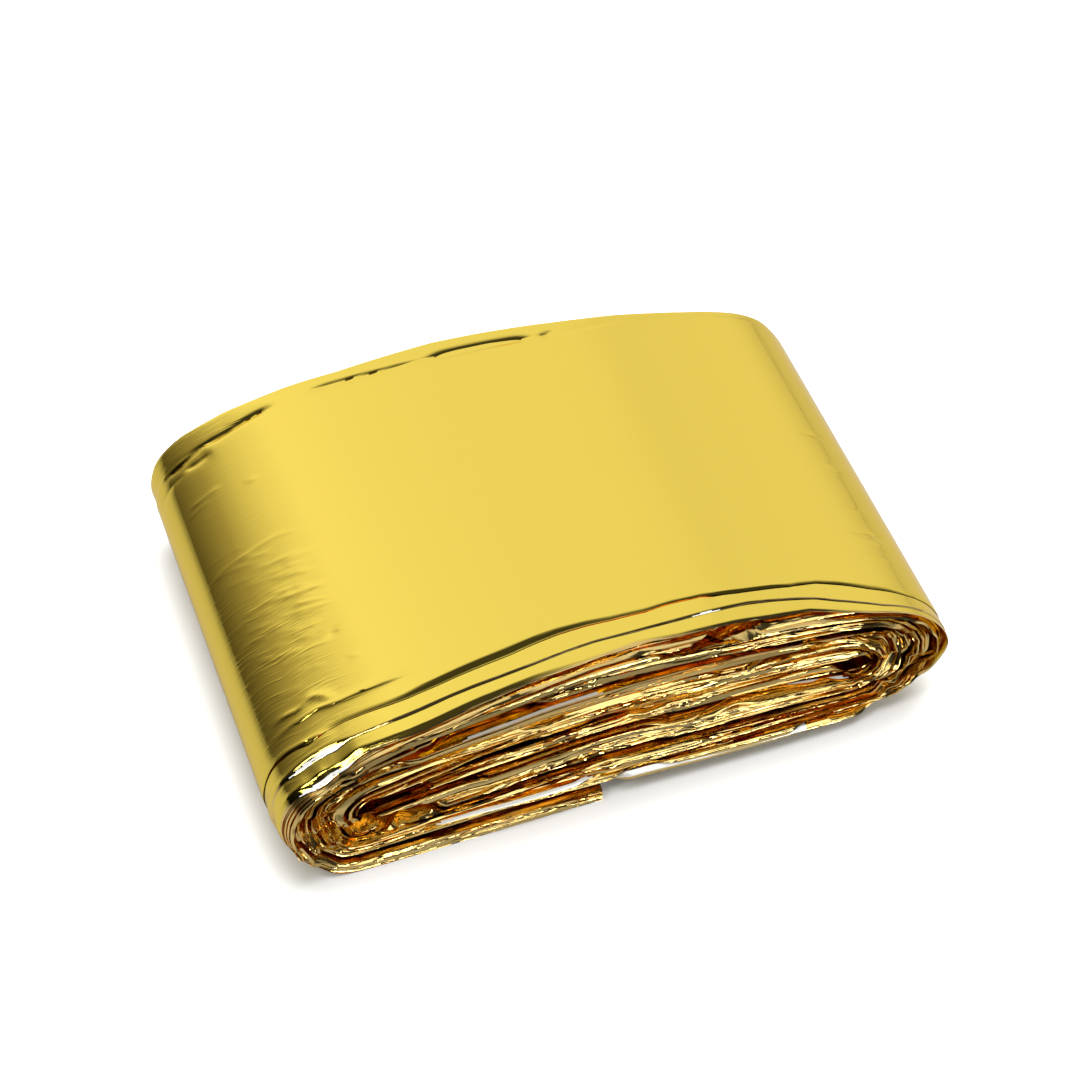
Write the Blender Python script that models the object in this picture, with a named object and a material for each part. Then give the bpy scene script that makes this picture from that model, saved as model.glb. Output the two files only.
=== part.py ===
"""Emergency foil blanket, folded into a strip and wound flat into a bundle.

The film is one sheet, 2.13 m by 1.32 m. It is folded to and fro across its 2.13 m into 24 plies, which
makes a strip 1.32 m long and as wide as the bundle is deep, and the strip is wound flat. Here the strip
is one band 3 mm thick, whose two long edges show the groups of fold edges as steps and ridges.

Frame: metres, +X along the bundle's length, +Y from the front edges to the back ones, +Z up. The origin
is on the surface that the bundle rests on, under the middle of its bounding box.
"""

import math

import bmesh
import bpy
from mathutils import Vector

MM = 0.001

# Driving dimensions.
BUNDLE_LENGTH = 132 * MM
STRIP_WIDTH = 93 * MM
EDGE_TAPER = 0.030  # each long edge leans in by this share of the distance along X
PITCHES = 5.5  # lengths of strip between the outside of the bundle and its spine
FILL = 0.86  # the share of one pitch that the strip fills; the rest is the gap to the next turn
WHOLE_TURNS = 5
SPINE_LEFT = -0.365 * BUNDLE_LENGTH
SPINE_RIGHT = 0.365 * BUNDLE_LENGTH
CORE_RAMP = 9 * MM  # the innermost length thins down over this far at each end of the spine
CORE_FLOOR = 0.02  # nothing comes nearer the spine's ends than this share of the way to the outline

# The outline of the bundle seen from the front, from the loose end under the middle, round the left
# end, over the top and round the right end. Shares of the bundle's length; steps to the next row.
#           along    up     steps
OUTLINE = (
    (+0.010, 0.000, 3),
    (-0.180, 0.000, 3),
    (-0.385, 0.000, 2),
    (-0.447, 0.028, 2),
    (-0.490, 0.083, 2),
    (-0.499, 0.128, 2),
    (-0.474, 0.182, 2),
    (-0.400, 0.226, 3),
    (-0.250, 0.271, 3),
    (-0.050, 0.294, 3),
    (+0.150, 0.288, 3),
    (+0.300, 0.266, 2),
    (+0.430, 0.227, 2),
    (+0.502, 0.174, 2),
    (+0.528, 0.110, 2),
    (+0.484, 0.034, 2),
    (+0.395, 0.000, 3),
    (+0.200, 0.000, 2),
)
CROSSOVER_START = 11  # the strip starts to sink under the turn before it at this row of OUTLINE
CROSSOVER_END = 16  # and lies one whole pitch further in from this row on
INNER_END_ROW = 2  # the strip's inner end lies on the spine, above this row

# Groups of fold edges on the strip's two long sides, in the order that goes round a section: along the
# front from the outer face to the inner one, then along the back to the outer face again. Each has the
# shares of the way across the strip where it starts and ends, and how far it stands back from the edge.
# start  end   back on the outer turn   back on the turns inside
FRONT_FOLDS = (
    (0.00, 0.10, 9.6 * MM, 1.6 * MM),
    (0.12, 0.22, 5.4 * MM, 0.6 * MM),
    (0.24, 0.36, 2.2 * MM, 1.2 * MM),
    (0.42, 0.60, 0.0 * MM, 0.2 * MM),
    (0.66, 0.80, 0.7 * MM, 1.4 * MM),
    (0.86, 1.00, 0.3 * MM, 0.6 * MM),
)
BACK_FOLDS = (
    (1.00, 0.66, 0.3 * MM, 0.9 * MM),
    (0.56, 0.20, 0.0 * MM, 0.2 * MM),
    (0.14, 0.00, 4.2 * MM, 1.2 * MM),
)
OUTER_FOLDS_END = 0.5  # turns after which the groups start to lie as on the turns inside
GROOVE_DEPTH = 0.9 * MM  # how far the hollow between two groups goes in behind the deeper of them

# How uneven the edges are along the strip: two waves whose lengths have no common multiple.
LONG_WAVE = 0.71 * MM
LONG_WAVE_STEPS = 17.3
SHORT_WAVE = 0.38 * MM
SHORT_WAVE_STEPS = 5.9
GROUP_SHIFT = 2.4  # radians between the waves of two neighbouring groups

# The loose end is cut askew: its front corner lies this far back along the strip, its back corner ahead.
LOOSE_END_SKEW = 4.6 * MM
LOOSE_END_STEPS = 3  # the skew fades over this many steps

# How far the edges stand back where each turn starts: the turns slid a little as they were wound.
TURN_SETBACK = (0.0, 0.9 * MM, 0.2 * MM, 1.3 * MM, 0.5 * MM, 1.5 * MM, 0.9 * MM)

GOLD_COLOUR = (0.83, 0.62, 0.16, 1.0)
GOLD_ROUGHNESS = 0.14


def clear_scene():
    """Removes whatever the scene holds."""
    for old in list(bpy.data.objects):
        bpy.data.objects.remove(old, do_unlink=True)


def smooth(share):
    """0 to 1 with a level start and end."""
    share = min(1.0, max(0.0, share))
    return share * share * (3 - 2 * share)


def through(before, start, end, after, share):
    """A point on the smooth curve through four points, share of the way from start to end."""
    square = share * share
    cube = square * share
    return 0.5 * (
        2 * start
        + (end - before) * share
        + (2 * before - 5 * start + 4 * end - after) * square
        + (3 * start - before - 3 * end + after) * cube
    )


def outline_stations():
    """One turn of the outline as (point, row number with its fraction), step by step."""
    rows = len(OUTLINE)
    corner = [Vector((along, up)) * BUNDLE_LENGTH for along, up, _ in OUTLINE]
    stations = []
    for row, (_, _, steps) in enumerate(OUTLINE):
        ends = [corner[(row + shift) % rows] for shift in (-1, 0, 1, 2)]
        for step in range(steps):
            share = step / steps
            point = through(*ends, share)
            point.y = max(0.0, point.y)
            stations.append((point, row + share))
    return stations


def height_at(along, low_side):
    """The outline's height above this place along the bundle, on its low or its high side."""
    best = None
    points = [point for point, _ in outline_stations()]
    for start, end in zip(points, points[1:] + points[:1]):
        going_left = end.x < start.x
        if going_left != low_side or not min(start.x, end.x) <= along <= max(start.x, end.x):
            continue
        share = (along - start.x) / (end.x - start.x)
        height = start.y + (end.y - start.y) * share
        best = height if best is None else (min if low_side else max)(best, height)
    return best


def spine_points(stations):
    """For each station, the point of the spine that the turns shrink towards."""
    middles = []
    for point, _ in stations:
        along = min(SPINE_RIGHT, max(SPINE_LEFT, point.x))
        middle = (height_at(along, True) + height_at(along, False)) / 2
        middles.append(Vector((along, middle)))
    return middles


def sunk(row):
    """How many pitches further in the strip lies at this row of the outline than at the turn's start."""
    return smooth((row - CROSSOVER_START) / (CROSSOVER_END - CROSSOVER_START))


def band_point(outline, spine, pitches_in, across):
    """A place in the XZ plane, part of the way across the strip, whose outer face lies this deep."""
    outer = 1 - pitches_in / PITCHES
    from_end = min(spine.x - SPINE_LEFT, SPINE_RIGHT - spine.x)
    floor = CORE_FLOOR - smooth(from_end / CORE_RAMP)
    inner = max(outer - FILL / PITCHES, floor)
    return spine + (outline - spine) * (outer + (inner - outer) * across)


def unevenness(step, group):
    """How far a group's edge wanders at this step along the strip."""
    shift = GROUP_SHIFT * group
    slow = LONG_WAVE * math.sin(math.tau * step / LONG_WAVE_STEPS + shift)
    quick = SHORT_WAVE * math.sin(math.tau * step / SHORT_WAVE_STEPS + 2 * shift)
    return slow + quick


def edge_profile(folds, turn_share, step):
    """One long side of the strip as (place across the strip, setback), group by group."""
    turn = int(turn_share)
    part = turn_share - turn
    slid = TURN_SETBACK[turn] * (1 - part) + TURN_SETBACK[turn + 1] * part
    inside = smooth(turn_share - OUTER_FOLDS_END)
    profile = []
    for group, (start, end, outer_back, inner_back) in enumerate(folds):
        back = outer_back + (inner_back - outer_back) * inside
        back = max(0.0, back + slid + unevenness(step, group))
        if profile:
            across, setback = profile[-1]
            profile.append(((across + start) / 2, max(setback, back) + GROOVE_DEPTH))
        profile.append((start, back))
        profile.append((end, back))
    return profile


def strip_sections():
    """Every section of the wound strip, from its loose outer end to its inner end, as rings of points."""
    stations = outline_stations()
    spines = spine_points(stations)
    per_turn = len(stations)
    last_step = next(
        WHOLE_TURNS * per_turn + index
        for index, (_, row) in enumerate(stations)
        if row >= INNER_END_ROW
    )
    sections = []
    for step in range(last_step + 1):
        turn, index = divmod(step, per_turn)
        outline, row = stations[index]
        spine = spines[index]
        pitches_in = turn + sunk(row)
        ring = []
        front = edge_profile(FRONT_FOLDS, step / per_turn, step)
        back = edge_profile(BACK_FOLDS, step / per_turn, step)
        sides = [(across, -1, setback) for across, setback in front]
        sides += [(across, 1, setback) for across, setback in back]
        for across, side, setback in sides:
            place = band_point(outline, spine, pitches_in, across)
            half_width = STRIP_WIDTH / 2 - EDGE_TAPER * place.x
            skew = side * LOOSE_END_SKEW * (1 - smooth(step / LOOSE_END_STEPS))
            ring.append(Vector((place.x + skew, side * (half_width - setback), place.y)))
        sections.append(ring)
    return sections


def skin(sections):
    """A closed mesh over the rings, with a flat face on each end of the strip."""
    shape = bmesh.new()
    rings = [[shape.verts.new(point) for point in ring] for ring in sections]
    for ring, following in zip(rings, rings[1:]):
        count = len(ring)
        for place in range(count):
            after = (place + 1) % count
            shape.faces.new((ring[place], ring[after], following[after], following[place]))
    shape.faces.new(list(reversed(rings[0])))
    shape.faces.new(rings[-1])
    bmesh.ops.triangulate(shape, faces=shape.faces[:])
    bmesh.ops.recalc_face_normals(shape, faces=shape.faces[:])
    return shape


def centre_on_origin(shape):
    """Moves the shape so that its bounding box stands on the origin, centred along X and Y."""
    places = [vert.co for vert in shape.verts]
    low = Vector([min(place[axis] for place in places) for axis in range(3)])
    high = Vector([max(place[axis] for place in places) for axis in range(3)])
    middle = (low + high) / 2
    bmesh.ops.translate(shape, vec=(-middle.x, -middle.y, -low.z), verts=shape.verts[:])


def gold_film():
    """Metallised film, gold on the side that faces out."""
    material = bpy.data.materials.new("gold_film")
    material.use_nodes = True
    shader = material.node_tree.nodes["Principled BSDF"]
    shader.inputs["Base Color"].default_value = GOLD_COLOUR
    shader.inputs["Metallic"].default_value = 1.0
    shader.inputs["Roughness"].default_value = GOLD_ROUGHNESS
    return material


def make_blanket():
    """The folded strip, wound flat, as one solid."""
    shape = skin(strip_sections())
    centre_on_origin(shape)
    mesh = bpy.data.meshes.new("foil_blanket")
    shape.to_mesh(mesh)
    shape.free()
    mesh.materials.append(gold_film())
    blanket = bpy.data.objects.new("foil_blanket", mesh)
    bpy.context.scene.collection.objects.link(blanket)
    return blanket


clear_scene()
make_blanket()
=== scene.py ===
# %% [markdown]
# # An emergency foil blanket, folded and wound flat
#
# The real thing is one sheet of polyester film, 2.13 m by 1.32 m and thinner than a hair, with a bright
# gold metal coat. A machine folds it to and fro into 24 plies, which makes a strip as wide as a hand, and
# winds that strip flat. What the eye sees is the smooth outermost ply on top, and on the near side hundreds
# of fold edges, some crushed, some puffed out. This lesson builds that one sheet, ply by ply, as a grid of
# points that a formula folds and winds. A cloth simulation could fold a napkin, but not 24 plies over five
# turns, so the folding is worked out instead.

import math

import bpy
import numpy as np
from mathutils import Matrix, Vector


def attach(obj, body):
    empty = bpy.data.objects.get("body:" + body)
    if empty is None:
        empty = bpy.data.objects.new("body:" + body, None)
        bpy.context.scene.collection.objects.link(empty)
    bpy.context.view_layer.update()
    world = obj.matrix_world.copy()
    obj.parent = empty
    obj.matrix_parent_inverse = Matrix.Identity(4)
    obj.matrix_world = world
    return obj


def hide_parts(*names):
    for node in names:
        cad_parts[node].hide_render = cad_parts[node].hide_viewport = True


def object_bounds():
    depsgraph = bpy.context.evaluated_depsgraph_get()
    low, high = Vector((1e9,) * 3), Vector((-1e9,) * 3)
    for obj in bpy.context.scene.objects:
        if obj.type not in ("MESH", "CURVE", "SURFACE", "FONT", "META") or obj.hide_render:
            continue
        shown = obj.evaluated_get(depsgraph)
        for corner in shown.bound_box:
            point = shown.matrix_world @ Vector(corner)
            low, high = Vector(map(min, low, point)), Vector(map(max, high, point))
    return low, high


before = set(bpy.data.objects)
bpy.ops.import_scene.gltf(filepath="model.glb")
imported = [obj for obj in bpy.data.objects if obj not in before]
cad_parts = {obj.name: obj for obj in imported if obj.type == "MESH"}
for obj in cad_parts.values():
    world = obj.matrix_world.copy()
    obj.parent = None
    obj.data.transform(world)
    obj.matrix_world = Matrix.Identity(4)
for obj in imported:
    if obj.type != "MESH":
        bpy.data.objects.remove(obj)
cad_low, cad_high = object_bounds()
MM = 0.001
rng = np.random.default_rng(41)

# %% [markdown]
# ## The winding, seen from the front
#
# Seen end on, the strip is a flat spiral. Its outside is a closed outline: flat below, arched above. Each
# turn inside it is the same outline, shrunk towards a spine in the middle. So a place in the spiral needs
# only two numbers: how far along the outline, and how many strip thicknesses in from the outside.

# %% The outline and the spine
LENGTH = 132 * MM  # of the bundle; the outline's numbers are shares of it
OUTLINE = np.array((
    # along, up
    (+0.010, 0.000),
    (-0.180, 0.000),
    (-0.385, 0.000),
    (-0.447, 0.028),
    (-0.490, 0.083),
    (-0.499, 0.128),
    (-0.474, 0.182),
    (-0.400, 0.226),
    (-0.250, 0.271),
    (-0.050, 0.294),
    (+0.150, 0.288),
    (+0.300, 0.266),
    (+0.430, 0.227),
    (+0.502, 0.174),
    (+0.528, 0.110),
    (+0.484, 0.034),
    (+0.395, 0.000),
    (+0.200, 0.000),
)) * LENGTH
ROWS = len(OUTLINE)
SPINE_END = 0.365 * LENGTH  # the spine reaches this far to the left and to the right
SPINE_SAMPLES = 40 * ROWS + 1


def smooth(share):
    """0 to 1 with a level start and end."""
    share = np.clip(share, 0.0, 1.0)
    return share * share * (3 - 2 * share)


def outline_at(row):
    """Points (along, up) on the smooth curve through the outline's rows."""
    whole = np.floor(row).astype(int)
    share = (row - whole)[..., None]
    before, start, end, after = (OUTLINE[(whole + shift) % ROWS] for shift in (-1, 0, 1, 2))
    point = 0.5 * (
        2 * start
        + (end - before) * share
        + (2 * before - 5 * start + 4 * end - after) * share**2
        + (3 * start - before - 3 * end + after) * share**3
    )
    point[..., 1] = np.maximum(point[..., 1], 0.0)
    return point


def spine_at(point):
    """The middle of the outline above and below each point, kept between the spine's two ends."""
    turn = outline_at(np.linspace(0, ROWS, SPINE_SAMPLES))
    going_right = np.diff(turn[:, 0], append=turn[1, 0]) > 0
    along = np.clip(point[:, 0], -SPINE_END, SPINE_END)
    heights = []
    for side in (going_right, ~going_right):
        order = np.argsort(turn[side, 0])
        heights.append(np.interp(along, turn[side, 0][order], turn[side, 1][order]))
    return np.stack((along, (heights[0] + heights[1]) / 2), axis=1)


print(f"the outline has {ROWS} rows and is {np.ptp(OUTLINE[:, 0]) / MM:.0f} mm long")

# %% [markdown]
# ## Rows along the strip
#
# The rows of points stand closest where the outermost ply lies in full view, over the top and round the
# left end. Under the bundle and in the turns inside they can be further apart.

# %% Rows of points along the strip
PITCHES = 5.5  # lengths of strip between the outside of the bundle and its spine
FILL = 0.86  # the share of one pitch that the strip fills; the rest is the gap to the next turn
CROSSOVER_START = 11  # from this row of the outline on, the strip sinks under the turn before it
CROSSOVER_END = 16  # and here it lies one whole pitch further in
INNER_END = 5 * ROWS + 1.5  # where the strip ends, counted in rows of the outline
FIRST_TURN = 1.02  # where the first pieces of the sheet end, in turns
IN_VIEW = (0.25, 0.82)  # the part of the first turn that lies in full view
VIEW_ROW = 0.80 * MM  # the distance between two rows of points there
OUTER_ROW = 1.15 * MM  # the same on the rest of the first turn
INNER_ROW = 1.0 * MM  # and in the turns inside

FINE_STEPS = 12000
BESIDE = 0.03  # a tangent is measured between two points this far to either side, in rows

fine_place = np.linspace(0, INNER_END, FINE_STEPS)
sinking = (fine_place % ROWS - CROSSOVER_START) / (CROSSOVER_END - CROSSOVER_START)
fine_pitches = fine_place // ROWS + smooth(sinking)
fine_outline = outline_at(fine_place)
fine_spine = spine_at(fine_outline)
fine_share = 1 - (fine_pitches + FILL / 2) / PITCHES
fine_middle = fine_spine + (fine_outline - fine_spine) * fine_share[:, None]
fine_length = np.concatenate(((0.0,), np.cumsum(np.linalg.norm(np.diff(fine_middle, axis=0), axis=1))))
fine_turns = fine_place / ROWS
spacing = np.where(fine_turns < FIRST_TURN, OUTER_ROW, INNER_ROW)
spacing[(fine_turns > IN_VIEW[0]) & (fine_turns < IN_VIEW[1])] = VIEW_ROW
rows_before = np.concatenate(((0.0,), np.cumsum(np.diff(fine_length) / spacing[1:])))
run = np.interp(np.linspace(0, rows_before[-1], int(rows_before[-1]) + 1), rows_before, fine_length)
strip_length = run[-1]
place = np.interp(run, fine_length, fine_place)
turns = place / ROWS
outline = outline_at(place)
spine = spine_at(outline)
pitches_in = np.interp(place, fine_place, fine_pitches)
tangent = outline_at(place + BESIDE) - outline_at(np.maximum(place - BESIDE, 0.0))
outward = np.stack((-tangent[:, 1], tangent[:, 0]), axis=1)
outward /= np.linalg.norm(outward, axis=1)[:, None]
in_lower_half = outline[:, 1] < spine[:, 1]
along = outline[:, 0] / LENGTH
mm_along = along * LENGTH / MM
outer_rows = slice(0, int(np.searchsorted(turns, FIRST_TURN)) + 1)
print(f"the strip is {strip_length:.3f} m long, in {len(run)} rows of points")
print(outer_rows.stop, "of them are on the first turn")

# %% [markdown]
# ## The folds
#
# Along the strip's two long sides the film turns back on itself, twelve times at the front and eleven at
# the back. No fold is quite in line with the next. Where one stands out it puffs up and hides its
# neighbours, and where many end together they lie as fine parallel lines. So each fold gets a line of its
# own: how far its edge stands back, as straight stretches with kinks, the way crushed film breaks.

# %% Lines with kinks
PLIES = 24
FRONT_FOLDS = PLIES // 2
BACK_GROUPS = PLIES // 2 + 1


def kinked(shortest, longest, size):
    """One value for each row of points: straight stretches of these lengths between random values."""
    count = int(strip_length / shortest) + 3
    knots = np.cumsum(rng.uniform(shortest, longest, count)) - longest
    return np.interp(run, knots, rng.normal(0.0, size, count))


def kinked_for_each(count, shortest, longest, size):
    """The same for each fold: an array of rows by folds."""
    return np.stack([kinked(shortest, longest, size) for _ in range(count)], axis=1)


def notches(spacing, width, depth):
    """Small sharp dips, a few millimetres long, at random places along the strip."""
    line = np.zeros(len(run))
    for middle in np.cumsum(rng.exponential(spacing, int(1.5 * strip_length / spacing) + 2)):
        half = width * rng.uniform(0.4, 1.0)
        line += depth * rng.uniform(0.3, 1.0) * np.clip(1 - np.abs(run - middle) / half, 0, None)
    return line


def fold_line(back, wander):
    """How far a fold's edge stands back from the bundle's edge, all along the strip."""
    line = back + wander + kinked(14 * MM, 60 * MM, 0.25 * MM)
    line += kinked(5 * MM, 16 * MM, 0.06 * MM)
    line += notches(500 * MM, 3 * MM, 1.2 * MM)
    return np.abs(line)


# %% [markdown]
# The folds lie in groups of three. In some places one of the three leads and the others hide behind it,
# which gives a broad, bright edge with shade under it. In others all three come out as parallel lines.

# %% How far each fold stands back
GROUP_SIZE = 3
front_lines = np.zeros((len(run), FRONT_FOLDS))
for first in range(0, FRONT_FOLDS, GROUP_SIZE):
    group = slice(first, first + GROUP_SIZE)
    rank = kinked_for_each(GROUP_SIZE, 14 * MM, 55 * MM, 1.0)
    hidden = smooth((rank.max(axis=1, keepdims=True) - rank) / 0.5)
    fan = kinked(20 * MM, 75 * MM, 0.5 * MM)
    tucked_in = 2.4 * MM + kinked_for_each(GROUP_SIZE, 20 * MM, 60 * MM, 0.7 * MM)
    front_lines[:, group] = np.stack([fold_line(0.7 * MM, fan) for _ in range(GROUP_SIZE)], axis=1)
    led = smooth(0.5 + kinked(15 * MM, 70 * MM, 0.8))
    front_lines[:, group] += hidden * np.abs(tucked_in) * led[:, None]
back_fans = [kinked(16 * MM, 60 * MM, 1.0 * MM) for _ in range(5)]
back_lines = [fold_line(0.8 * MM, back_fans[fold // GROUP_SIZE]) for fold in range(BACK_GROUPS)]
back_lines = np.stack(back_lines, axis=1)
print(FRONT_FOLDS, "fold edges at the front,", BACK_GROUPS, "at the back")

# %% [markdown]
# On top of the bundle the outermost folds end in three clear steps, each a little nearer the front than
# the one over it. They were measured in millimetres behind the front edge, at places along the bundle.

# %% The three steps on top
STEPS = (
    # along:  behind the front edge
    ((-64, -60, -57, -53, -50, -46, -42, -38, -33, -28, -23, -18, -13,
      -9, -4, 1, 8, 14, 19, 26, 35, 42, 46, 52, 60),
     (12.0, 11.4, 10.6, 11.3, 11.4, 10.9, 10.3, 10.1, 10.3, 10.7, 11.0, 11.2, 11.5,
      11.6, 11.3, 10.9, 10.5, 10.8, 10.9, 10.0, 9.5, 9.4, 8.5, 6.9, 5.7)),
    ((-63, -60, -55, -51, -48, -43, -38, -30, -20, -12, -3,
      5, 13, 19, 27, 35, 40, 44, 48, 53, 60),
     (7.0, 7.2, 7.2, 6.8, 6.4, 5.9, 5.7, 5.8, 5.9, 6.1, 6.5,
      6.3, 6.4, 6.6, 6.8, 6.0, 5.3, 4.1, 3.2, 2.2, 2.0)),
    ((-63, -59, -54, -51, -49, -45, -40, -36, -31, -26, -16,
      -7, 4, 12, 18, 23, 30, 38, 45, 50, 60),
     (3.4, 2.7, 2.8, 3.2, 3.3, 2.7, 2.1, 2.1, 2.5, 2.9, 3.2,
      3.0, 3.8, 3.0, 3.2, 3.3, 2.8, 2.7, 1.2, 0.6, 0.6)),
)
BACK_STEP = (
    # along:  in front of the back edge
    (-64, -52, -46, -38, -30, -17, 3, 14, 24, 34, 60),
    (5.6, 5.6, 4.8, 3.9, 4.3, 5.0, 4.8, 5.0, 4.0, 2.6, 1.6),
)
UNDER_STEPS = (2.2, 2.3, 2.2, 2.0, 1.5, 0.7, 0.0, -0.3, 0.0)  # mm that the folds under them lie further back
UNDER_CALM = 0.35  # the share of their own wandering that those folds lose
TOP_STARTS, TOP_RISE = 0.16, 0.10  # the top's look comes in from here on, in turns, over this far,
TOP_ENDS, TOP_FALL = 0.74, 0.12  # and goes again
LOOSE_END_CALM = 0.75  # the share that the folds of the loose end lose of theirs

risen = smooth((turns - TOP_STARTS) / TOP_RISE)
on_top = risen * (1 - smooth((turns - TOP_ENDS) / TOP_FALL))
loose_end = 1 - risen
front_lines *= (1 - LOOSE_END_CALM * loose_end)[:, None]
for fold, (at, backs) in enumerate(STEPS):
    wander = kinked(4 * MM, 12 * MM, 0.06 * MM)
    line = np.interp(mm_along, at, backs) * MM + wander
    front_lines[:, fold] += (line - front_lines[:, fold]) * on_top
for fold, further_back in zip(range(len(STEPS), FRONT_FOLDS), UNDER_STEPS):
    front_lines[:, fold] += (further_back * MM - UNDER_CALM * front_lines[:, fold]) * on_top
back_step = np.interp(mm_along, *BACK_STEP) * MM + kinked(8 * MM, 30 * MM, 0.12 * MM)
back_lines[:, 0] += (back_step - back_lines[:, 0]) * on_top
print("fold edges stand back", round(front_lines.min() / MM, 2), "to", round(front_lines.max() / MM, 2), "mm")

# %% [markdown]
# ## How thick each fold is
#
# Behind its edge each fold opens from nothing to its share of the strip's thickness. A puffed one takes
# more than its share near the edge. Between some folds a slit of air stays open for a few millimetres:
# light goes in, bounces between two gold walls and comes back dark red, or not at all.

# %% Rounding, puffs and slits
PUFF_LENGTH = 3.0 * MM  # a puff dies down over this far behind the edge
AIR_LENGTH = 5.0 * MM  # and a slit closes over this far

# lines: how far the edge stands back      rounding: over how far behind it the fold opens
# puff: how much thicker it is there       air: the slit of air to the next fold
# base: its share of the thickness         room: the share of its place that stays empty in front of it
# bevel: 1 for an even slope, 0 for round  drop: how far the folds inside it sink in front of it
front = {
    "lines": front_lines,
    "rounding": 0.42 * MM * np.exp(kinked_for_each(FRONT_FOLDS, 20 * MM, 70 * MM, 0.5)),
    "puff": 0.8 * np.exp(kinked_for_each(FRONT_FOLDS, 25 * MM, 90 * MM, 0.8)),
    "room": np.clip(0.4 + kinked_for_each(FRONT_FOLDS, 25 * MM, 90 * MM, 0.3), 0.05, 1.2),
    "air": np.clip(kinked_for_each(FRONT_FOLDS - 1, 14 * MM, 60 * MM, 0.9), 0.0, 2.0),
    "base": np.exp(kinked_for_each(FRONT_FOLDS, 30 * MM, 120 * MM, 0.6)),
    "bevel": np.zeros((len(run), FRONT_FOLDS)),
    "drop": np.zeros((len(run), FRONT_FOLDS)),
}
back = {
    "lines": back_lines,
    "rounding": 0.5 * MM * np.exp(kinked_for_each(BACK_GROUPS, 6 * MM, 25 * MM, 0.35)),
    "puff": 0.5 * np.exp(kinked_for_each(BACK_GROUPS, 15 * MM, 60 * MM, 1.0)),
    "air": np.clip(kinked_for_each(BACK_GROUPS - 1, 14 * MM, 60 * MM, 0.6), 0.0, 2.0),
    "room": np.full((len(run), BACK_GROUPS), 0.6),
    "base": np.tile([0.5] + [1.0] * (BACK_GROUPS - 2) + [0.5], (len(run), 1)),
    "bevel": np.zeros((len(run), BACK_GROUPS)),
    "drop": np.zeros((len(run), BACK_GROUPS)),
}

# %% [markdown]
# The steps on top slope down over a few millimetres, the first one most where it is nearest the middle.
# A slope that leans towards the viewer mirrors the dark front of the room: that is why the photograph
# shows each step as a dark line, now broad, now thin.

# %% Slopes of the steps
BEVELS = (
    # along:  over how many mm each step slopes down
    ((-64, -50, -42, -34, -18, -8, 2, 12, 20, 21, 36, 37, 62),
     (0.6, 0.8, 0.9, 1.5, 1.7, 1.3, 0.9, 0.5, 0.5, 0.6, 0.6, 0.5, 0.5)),
    ((-63, -58, -53, -50, 10, 20, 30, 62), (0.7, 1.6, 1.4, 0.45, 0.5, 0.8, 0.5, 0.4)),
    ((-63, -57, -52, -47, -15, 0, 20, 62), (1.2, 2.2, 1.8, 1.4, 1.2, 0.9, 0.7, 0.6)),
)
DROPS = (
    # along:  how far it goes down, as a share of the strip's thickness
    ((-64, -50, -42, -34, -18, -8, 2, 12, 20, 21, 36, 37, 62),
     (0.06, 0.08, 0.10, 0.17, 0.18, 0.14, 0.09, 0.07, 0.07, 0.09, 0.09, 0.07, 0.06)),
    ((-63, -58, -53, -50, 10, 20, 30, 62), (0.15, 0.34, 0.28, 0.07, 0.07, 0.09, 0.06, 0.05)),
    ((-63, -57, -52, -47, -15, 0, 20, 62), (0.24, 0.46, 0.36, 0.15, 0.12, 0.10, 0.08, 0.06)),
)
STARTS_BEFORE = (0.85, 0.5, 0.5)  # the share of each slope that lies in front of the measured line
BACK_BEVEL = 0.8 * MM
BACK_DROP = 0.05

for fold, (bevel, drop) in enumerate(zip(BEVELS, DROPS)):
    length = np.interp(mm_along, *bevel) * MM
    front_lines[:, fold] -= STARTS_BEFORE[fold] * length * on_top
    front["rounding"][:, fold] += (length - front["rounding"][:, fold]) * on_top
    front["bevel"][:, fold] = on_top
    front["drop"][:, fold] = np.interp(mm_along, *drop) * on_top
    front["air"][:, fold] *= 1 - on_top
    front["puff"][:, fold] *= 1 - 0.7 * on_top
    front["room"][:, fold] *= 1 - on_top
back["rounding"][:, 0] += (BACK_BEVEL - back["rounding"][:, 0]) * on_top
back["drop"][:, 0] = BACK_DROP * on_top
back["room"][:, 0] *= 1 - on_top
print(f"the first step drops by up to {front['drop'][:, 0].max():.2f} of the strip's thickness")

# %% [markdown]
# ## Lines on the near side
#
# Among the hundreds of fold edges a few lead the eye: ledges, where the folds below a line stand out and
# the light falls on them from above, and slits, where they stand back in the dark. These were measured, in
# millimetres along and up. Each line bends the folds nearest to it, the most at the fold that leads and
# less and less below and above. On some ledges the film has turned over and shows its silver reverse.

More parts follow.
